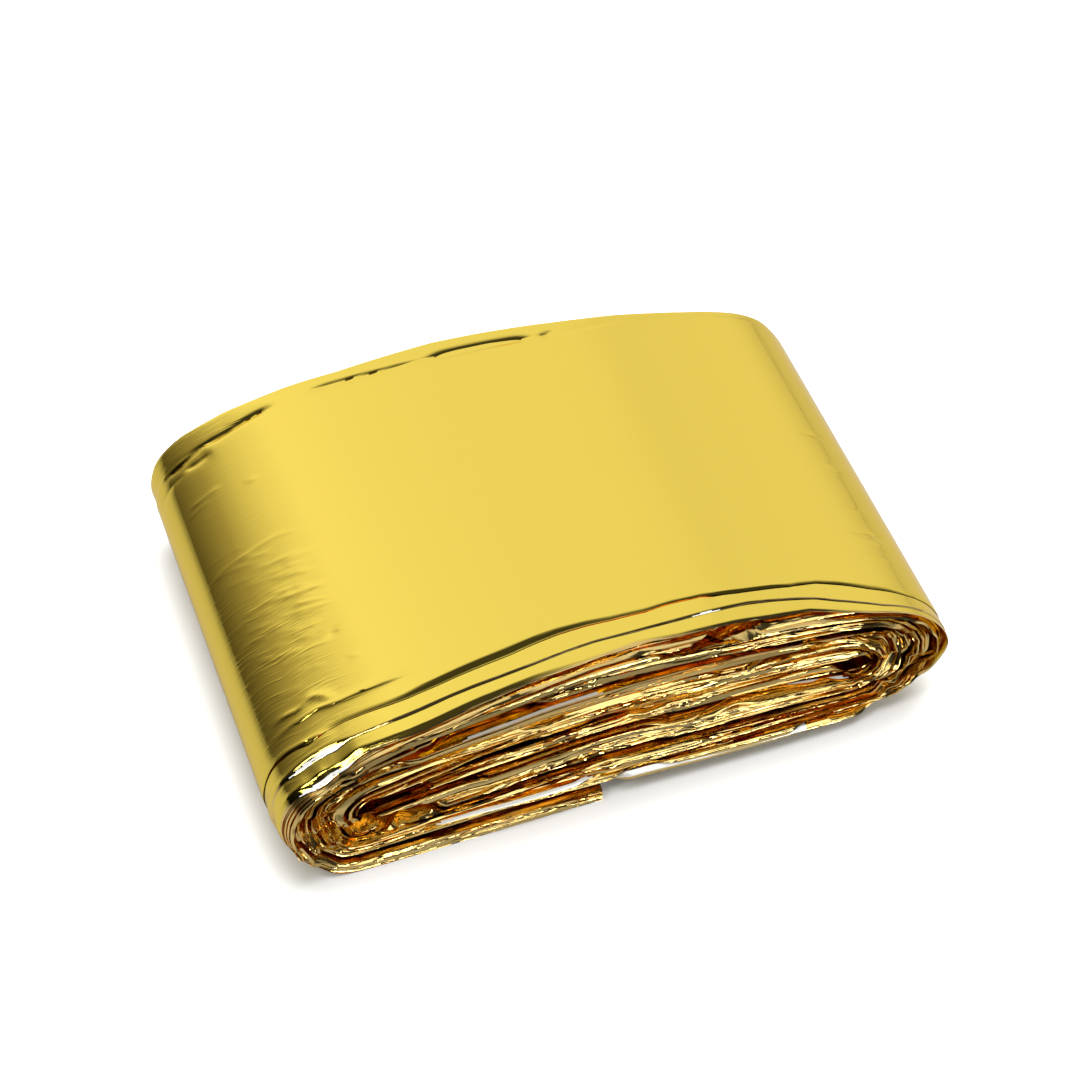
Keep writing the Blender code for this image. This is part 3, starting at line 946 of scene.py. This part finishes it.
def fine_noise(tree, scale, detail):
    """Noise over the flat film, scale in waves a metre along and across."""
    noise = tree.nodes.new("ShaderNodeTexNoise")
    noise.inputs["Scale"].default_value = 1.0
    noise.inputs["Detail"].default_value = detail
    tree.links.new(film_place(tree, scale), noise.inputs["Vector"])
    return noise.outputs["Fac"]


# %% [markdown]
# ### Crinkles
#
# Creased film has crossing straight folds. The borders of large cells in a Voronoi pattern, stretched
# along the strip, give the same net of straight lines with flat film between them.

# %% Crinkle group
crinkle, inlet, outlet = new_group("crinkle", [("Strength", 1.0)], ["Height"])
cells = crinkle.nodes.new("ShaderNodeTexVoronoi")
cells.feature = "F1"
cells.distance = "MANHATTAN"
cells.inputs["Scale"].default_value = 1.0
crinkle.links.new(film_place(crinkle, (140.0, 620.0, 1.0)), cells.inputs["Vector"])
soft = fine_noise(crinkle, (60.0, 300.0, 1.0), 2.0)
both = math_node(crinkle, "ADD", cells.outputs["Distance"], soft)
scaled = math_node(crinkle, "MULTIPLY", both, inlet.outputs["Strength"])
crinkle.links.new(scaled, outlet.inputs["Height"])
print("crinkle group:", len(crinkle.nodes), "nodes")

# %% [markdown]
# ### Hairlines
#
# Where the strip was pulled tight round the left end, the film gathered in hairlines that run with the
# strip. Noise that is twenty times finer across the strip than along it looks like that. The strong
# ones are kept to the left shoulder: by how far along the strip they are, and how far from the film's
# first cut edge.

# %% Hairline group
TIGHT_TURNS = (0.425, 0.385)  # the strong hairlines fade in between these shares of the first turn
NEAR_HALF = (0.025, 0.055)  # and between these distances across the film, in metres
DASH_FLOOR = 0.52  # noise under this height makes no dash
hairlines, inlet, outlet = new_group("hairlines", [("Strength", 1.0), ("Tight", 0.0)], ["Height"])
fine = fine_noise(hairlines, (110.0, 1900.0, 1.0), 3.0)
patches = fine_noise(hairlines, (60.0, 90.0, 1.0), 1.0)
faint = math_node(hairlines, "MULTIPLY", fine, patches)
dashes = fine_noise(hairlines, (130.0, 1500.0, 1.0), 2.0)
raised = math_node(hairlines, "MAXIMUM", math_node(hairlines, "SUBTRACT", dashes, DASH_FLOOR), 0.0)
places = hairlines.nodes.new("ShaderNodeSeparateXYZ")
hairlines.links.new(film_place(hairlines, (1.0, 1.0, 1.0)), places.inputs["Vector"])
tight_from, tight_to = (float(np.interp(share, turns, run)) for share in TIGHT_TURNS)
tight = ramp(hairlines, places.outputs["X"], tight_from, tight_to, 0.0, 1.0)
near_half = ramp(hairlines, places.outputs["Y"], *NEAR_HALF, 0.0, 1.0)
gathered = math_node(hairlines, "MULTIPLY", raised, tight)
gathered = math_node(hairlines, "MULTIPLY", gathered, near_half)
gathered = math_node(hairlines, "MULTIPLY", gathered, patches)
gathered = math_node(hairlines, "MULTIPLY", gathered, inlet.outputs["Tight"])
faint = math_node(hairlines, "MULTIPLY", faint, inlet.outputs["Strength"])
hairlines.links.new(math_node(hairlines, "ADD", faint, gathered), outlet.inputs["Height"])
print("hairline group:", len(hairlines.nodes), "nodes")

# %% [markdown]
# ### Dull patches
#
# The lacquer isn't equally bright all over: handling leaves it a little duller in patches. Slow noise
# between a bright and a dull roughness gives them.

# %% Dullness group
dullness, inlet, outlet = new_group("dullness", [("Bright", 0.06), ("Dull", 0.14)], ["Roughness"])
patches = fine_noise(dullness, (35.0, 60.0, 1.0), 3.0)
spread = dullness.nodes.new("ShaderNodeMapRange")
spread.inputs["From Min"].default_value = 0.35  # noise seldom leaves this range
spread.inputs["From Max"].default_value = 0.65
dullness.links.new(patches, spread.inputs["Value"])
dullness.links.new(inlet.outputs["Bright"], spread.inputs["To Min"])
dullness.links.new(inlet.outputs["Dull"], spread.inputs["To Max"])
dullness.links.new(spread.outputs["Result"], outlet.inputs["Roughness"])
print("dullness group:", len(dullness.nodes), "nodes")

# %% [markdown]
# ### Gold, shaded gold and silver
#
# The film is aluminium on plastic, and a tinted lacquer makes one side gold. A metallic Principled BSDF is
# right for it: its colour tints every reflection, and Specular Tint whitens those at a glancing angle, as
# lacquer does. The crushed folds have more crinkles, and a darker, browner copy of the gold, which is painted
# shade for the near side's folds. The reverse has no tint, and it is only partly metallic, because in the
# photograph its creased edges scatter light and look whitish.

# %% Film materials
GOLD = (0.90, 0.68, 0.10, 1.0)
GOLD_EDGE = (1.0, 0.86, 0.55, 1.0)
WHITE_EDGE = (1.0, 1.0, 1.0, 1.0)
# a darker, browner copy of GOLD for the crushed folds: painted shade on the near side
SHADED_GOLD = (0.81, 0.58, 0.19, 1.0)
SILVER = (0.88, 0.87, 0.83, 1.0)
LACQUER_ROUGHNESS = 0.04
BUMP_HEIGHT = 0.1 * MM  # how high a bump of strength one stands


def placed(tree, group, **values):
    """This node group in a material, with its own values."""
    node = tree.nodes.new("ShaderNodeGroup")
    node.node_tree = group
    for label, value in values.items():
        node.inputs[label].default_value = value
    return node


def film_material(name, colour, bright, dull, crinkled, lined, coat, tight=0.0, metal=1.0):
    """Film with this colour of metal under a clear lacquer."""
    material = bpy.data.materials.new(name)
    material.use_nodes = True
    tree = material.node_tree
    shader = tree.nodes["Principled BSDF"]
    shader.inputs["Base Color"].default_value = colour
    shader.inputs["Metallic"].default_value = metal
    shader.inputs["Specular Tint"].default_value = GOLD_EDGE if metal == 1.0 else WHITE_EDGE
    shader.inputs["Coat Weight"].default_value = coat
    shader.inputs["Coat Roughness"].default_value = LACQUER_ROUGHNESS
    dull_node = placed(tree, dullness, Bright=bright, Dull=dull)
    tree.links.new(dull_node.outputs["Roughness"], shader.inputs["Roughness"])
    crinkle_node = placed(tree, crinkle, Strength=crinkled)
    hairline_node = placed(tree, hairlines, Strength=lined, Tight=tight)
    height = math_node(tree, "ADD", crinkle_node.outputs["Height"], hairline_node.outputs["Height"])
    bump = tree.nodes.new("ShaderNodeBump")
    bump.inputs["Distance"].default_value = BUMP_HEIGHT
    tree.links.new(height, bump.inputs["Height"])
    tree.links.new(bump.outputs["Normal"], shader.inputs["Normal"])
    return material


# the crushed folds: crinkled film whose darker gold is painted shade
crushed = film_material(
    "crushed_shaded_film", SHADED_GOLD, bright=0.05, dull=0.10, crinkled=0.10, lined=1.5, coat=0.6
)
stretched = film_material(
    "stretched_film", GOLD, bright=0.07, dull=0.12, crinkled=0.02, lined=0.30, coat=0.2, tight=3.0
)
reverse = film_material(
    "silver_reverse", SILVER, bright=0.12, dull=0.22, crinkled=0.4, lined=0.6, coat=0.5, metal=0.3
)
for finish in (crushed, stretched, reverse):
    print(finish.name, "has", len(finish.node_tree.nodes), "nodes")

# %% [markdown]
# ## Meshes
#
# A grid this size goes into Blender as flat arrays, which takes a moment, where adding face by face
# would take minutes. The film is one sheet, but it is kept as a few pieces, so that no mesh gets heavy.
# Each face gets one of the three finishes by where it lies: crushed near the front folds, whose darker gold
# is painted shade, stretched elsewhere, and silver on the few fold edges that have turned over.

# %% Turn a part of the grid into an object
LEDGE_FROM = 0.3 * MM  # this far behind its fold a ply on a step is smooth
FOLD_ITSELF = 0.05 * MM  # nearer than this a face is the turn of the fold, which stays gold
SHARP_FROM = math.radians(40)  # folds sharper than this are shaded as an edge
SILVER_SLOT = 2


def film_piece(name, grid, at_rows, columns):
    """A mesh over this part of the film, with the film's flat coordinates as its UV map."""
    high, wide = grid.shape[:2]
    index = np.arange(high * wide).reshape(high, wide)
    corners = (index[:-1, :-1], index[:-1, 1:], index[1:, 1:], index[1:, :-1])
    corners = np.stack(corners, axis=-1).reshape(-1)
    mesh = bpy.data.meshes.new(name)
    mesh.vertices.add(high * wide)
    mesh.vertices.foreach_set("co", grid.reshape(-1))
    mesh.loops.add(len(corners))
    mesh.loops.foreach_set("vertex_index", corners)
    mesh.polygons.add(len(corners) // 4)
    mesh.polygons.foreach_set("loop_start", np.arange(0, len(corners), 4))
    steps = np.linalg.norm(np.diff(grid, axis=1), axis=2).mean(axis=0)
    across = np.concatenate(((0.0,), np.cumsum(steps)))
    flat = np.broadcast_arrays(run[at_rows][:, None], across[None, :])
    flat = np.stack(flat, axis=-1).reshape(-1, 2)
    mesh.uv_layers.new(name="film").data.foreach_set("uv", flat[corners].reshape(-1))
    for finish in (stretched, crushed, reverse):
        mesh.materials.append(finish)
    finishes = np.zeros((high - 1, wide - 1), dtype=np.int32)
    for number, (before, (ply, side, stop)) in enumerate(zip(columns, columns[1:])):
        if side == "front" and ply > 0:
            # front faces take the crushed film and its painted shade; ledges on the steps keep the bright
            # gold
            on_ledge = (on_top[at_rows][:-1] > 0.5) & (ply < STEP_PLIES) & (stop > LEDGE_FROM)
            finishes[:, number] = np.where(on_ledge, 0, 1)
        if side == "front":
            faces_up = (ply % 2 == 1) == in_lower_half[at_rows][:-1]
            nearest = min(before[2], stop) if before[1] == "front" else stop
            turned_over = (nearest > FOLD_ITSELF) & (nearest <= silver_to[at_rows][:-1, ply // 2])
            finishes[faces_up & turned_over, number] = SILVER_SLOT
    mesh.polygons.foreach_set("material_index", finishes.reshape(-1))
    mesh.update(calc_edges=True)
    mesh.validate()
    mesh.shade_smooth()
    mesh.set_sharp_from_angle(angle=SHARP_FROM)
    piece = bpy.data.objects.new(name, mesh)
    bpy.context.scene.collection.objects.link(piece)
    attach(piece, "root")
    silver_faces = int((finishes == SILVER_SLOT).sum())
    print(f"{name}: {2 * (high - 1) * (wide - 1)} triangles, {silver_faces} faces of silver")
    return piece


# %% [markdown]
# ### One sheet in six pieces
#
# Pieces that belong together share their border points, so no gap shows between them. The ply in the open
# is one piece, the plies under it are two, and the turns inside are three, one after another. All of them
# take the place of the one solid of the CAD model.

# %% Cut the sheet into pieces
def rows_between(start, end):
    """The turns inside from one share to another, as a slice of their grid and one of the whole strip."""
    count = len(run) - inner_rows.start
    low, high = int(start * (count - 1)), int(end * (count - 1)) + 1
    return slice(low, high), slice(inner_rows.start + low, inner_rows.start + high)


cover = film_piece("film_outer_ply", film_open, outer_rows, open_columns)
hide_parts("foil_blanket")
seam = len(under_columns) // 2
film_piece("film_first_turn_a", film_under[:, : seam + 1], outer_rows, under_columns[: seam + 1])
film_piece("film_first_turn_b", film_under[:, seam:], outer_rows, under_columns[seam:])
for number, (start, end) in enumerate(((0, 1 / 3), (1 / 3, 2 / 3), (2 / 3, 1)), start=1):
    grid_rows, strip_rows = rows_between(start, end)
    film_piece(f"film_inner_turns_{number}", film_inside[grid_rows], strip_rows, all_columns)

# %% [markdown]
# ## Floor, light and camera
#
# A mirror shows the room it stands in, so most of the look comes from the room. The photograph's room has
# bright walls behind and above, a dark corner to the left and a dark space in front, where the camera is.
#
# The floor is pale, but the near side's darkest reflections can't come from a pale floor. In the
# photograph the dark space in front is reflected there. So the floor has a second tone, painted shade and
# light which only reflections see, through Light Path: dark round the bundle and in front of it, and
# brighter far to the right, where the room is bright.

# %% Floor
FLOOR_SIZE = 8.0
FLOOR_COLOUR = (0.9, 0.9, 0.9, 1.0)
FLOOR_ROUGHNESS = 0.7

bpy.ops.mesh.primitive_plane_add(size=FLOOR_SIZE, location=(0, 0, 0))
floor = bpy.context.object
floor.name = "floor"
pale = bpy.data.materials.new("pale_floor")
pale.use_nodes = True
tree = pale.node_tree
tree.nodes["Principled BSDF"].inputs["Roughness"].default_value = FLOOR_ROUGHNESS
where = tree.nodes.new("ShaderNodeTexCoord")
place = tree.nodes.new("ShaderNodeSeparateXYZ")
tree.links.new(where.outputs["Object"], place.inputs["Vector"])
# the tone that only reflections see: painted shade round the bundle and in front, painted light far to the
# right
# Each tone: from this place to that one, in metres, it goes from this brightness to that one.
left_to_right = ramp(tree, place.outputs["X"], -0.24, -0.06, 0.17, 0.36)
in_front = ramp(tree, place.outputs["Y"], -0.11, -0.045, 0.35, 1.0)
far_right = ramp(tree, place.outputs["X"], 0.2, 2.0, 1.0, 2.7)
painted_reflection_tone = math_node(tree, "MULTIPLY", left_to_right, in_front)
painted_reflection_tone = math_node(tree, "MULTIPLY", painted_reflection_tone, far_right)
rays = tree.nodes.new("ShaderNodeLightPath")
tone = tree.nodes.new("ShaderNodeMix")
tone.data_type = "RGBA"
tone.inputs["A"].default_value = FLOOR_COLOUR
tree.links.new(painted_reflection_tone, tone.inputs["B"])
tree.links.new(rays.outputs["Is Glossy Ray"], tone.inputs["Factor"])
tree.links.new(tone.outputs["Result"], tree.nodes["Principled BSDF"].inputs["Base Color"])
floor.data.materials.append(pale)
print("the floor's material has", len(tree.nodes), "nodes")

# %% [markdown]
# ### The room
#
# A picture of a room would light the film well, but a few numbers do it too, and they are easier to
# change. The brightness depends on the direction alone. A colour ramp takes it from the dark corner at
# the left to the bright right, slightly warm where it is dark. Two soft changes make the front dark and
# the walls a little darker near the floor.

# %% World
world = bpy.data.worlds.new("studio")
bpy.context.scene.world = world
world.use_nodes = True
tree = world.node_tree
sight = tree.nodes.new("ShaderNodeTexCoord")
parts = tree.nodes.new("ShaderNodeSeparateXYZ")
tree.links.new(sight.outputs["Generated"], parts.inputs["Vector"])

BRIGHTEST = 1.1  # a colour ramp ends at one, so its colours are shares of this
# Brightness against how far the direction points left (-1) or right (+1).
SIDE_LIGHT = (
    (-0.76, 0.11),
    (-0.64, 0.23),
    (-0.50, 0.38),
    (-0.40, 0.62),
    (-0.34, 0.88),
    (-0.26, 1.06),
    (+0.10, 0.95),
    (+0.34, 0.94),
    (+0.42, 0.87),
    (+0.66, 0.90),
    (+0.80, 0.84),
)
side_light = tree.nodes.new("ShaderNodeValToRGB")
stops = side_light.color_ramp.elements
while len(stops) < len(SIDE_LIGHT):
    stops.new(0.5)
for stop, (towards, brightness) in zip(stops, SIDE_LIGHT):
    stop.position = (towards + 1) / 2
    share = brightness / BRIGHTEST
    white = min(brightness, 1.0)
    stop.color = (share, share * (0.90 + 0.10 * white), share * (0.7 + 0.3 * white), 1.0)
halfway = math_node(tree, "MULTIPLY", parts.outputs["X"], 0.5)
tree.links.new(math_node(tree, "ADD", halfway, 0.5), side_light.inputs["Fac"])
front_dark = ramp(tree, parts.outputs["Y"], 0.12, 0.52, 0.06, BRIGHTEST)
low_dark = ramp(tree, parts.outputs["Z"], 0.0, 0.3, 0.85, 1.0)
strength = math_node(tree, "MULTIPLY", front_dark, low_dark)
tree.links.new(side_light.outputs["Color"], tree.nodes["Background"].inputs["Color"])
tree.links.new(strength, tree.nodes["Background"].inputs["Strength"])
print("the world's brightness has", len(SIDE_LIGHT), "steps from left to right")

# %% [markdown]
# ### The lamps
#
# A big lamp overhead lights the floor. It is hidden from reflections, because the top would mirror it as
# a square. The other three are there for their reflections: two strips in front, which draw the bright
# lines on the near side's folds, and a soft one at the left.

# %% Lamps
def lamp(name, place, size, power, in_gloss=True):
    """A soft rectangular lamp that points at the bundle."""
    data = bpy.data.lights.new(name, "AREA")
    data.shape = "RECTANGLE"
    data.size, data.size_y = size
    data.energy = power
    item = bpy.data.objects.new(name, data)
    item.visible_glossy = in_gloss
    item.location = place
    item.rotation_euler = (-Vector(place)).to_track_quat("-Z", "Y").to_euler()
    bpy.context.scene.collection.objects.link(item)
    print(f"{name}: {power} W from {Vector(place).length:.2f} m")


lamp("overhead", (0.1, 0.1, 1.4), (1.2, 1.2), 34.0, in_gloss=False)
lamp("front_strip", (0.35, -0.95, 0.95), (1.5, 0.60), 4.9)
lamp("low_strip", (0.5, -1.2, 0.30), (0.8, 0.08), 2.5)
lamp("left_soft", (-0.80, -0.40, 1.05), (0.28, 0.6), 4.5)

# %% [markdown]
# ### The camera
#
# The camera was fitted to the bundle's outline: how far round it stands, how high, how far away, and how
# long its lens is. Its place follows from a direction and a distance, so it can be moved round the bundle
# by one number. Bounces are raised, because light in a slit between two mirrors goes to and fro often.

# %% Camera
AZIMUTH = math.radians(-18.8)
ELEVATION = math.radians(46.0)
DISTANCE = 4.713 * LENGTH
SENSOR = 36.0
FOCAL_PIXELS = 3243
PHOTO_PIXELS = 1080
BOUNCES = 24
towards_camera = Vector((
    math.sin(AZIMUTH) * math.cos(ELEVATION),
    -math.cos(AZIMUTH) * math.cos(ELEVATION),
    math.sin(ELEVATION),
))
target = Vector((-0.65 * MM, 0.0, 0.188 * LENGTH))
camera_data = bpy.data.cameras.new("camera")
camera_data.sensor_width = SENSOR
camera_data.lens = SENSOR * FOCAL_PIXELS / PHOTO_PIXELS
camera = bpy.data.objects.new("camera", camera_data)
camera.location = target + towards_camera * DISTANCE
camera.rotation_mode = "QUATERNION"
camera.rotation_quaternion = (-towards_camera).to_track_quat("-Z", "Y")
bpy.context.scene.collection.objects.link(camera)
bpy.context.scene.camera = camera
bpy.context.scene.view_settings.view_transform = "Standard"
bpy.context.scene.cycles.max_bounces = BOUNCES
bpy.context.scene.cycles.glossy_bounces = BOUNCES
print(f"a {camera_data.lens:.0f} mm lens, {DISTANCE:.3f} m away")

# %% [markdown]
# ## Sizes
#
# Last, the size of the CAD model's box is printed, in millimetres.

# %% Print the CAD model's size
print("CAD box", [round(side / MM, 1) for side in cad_high - cad_low], "mm")
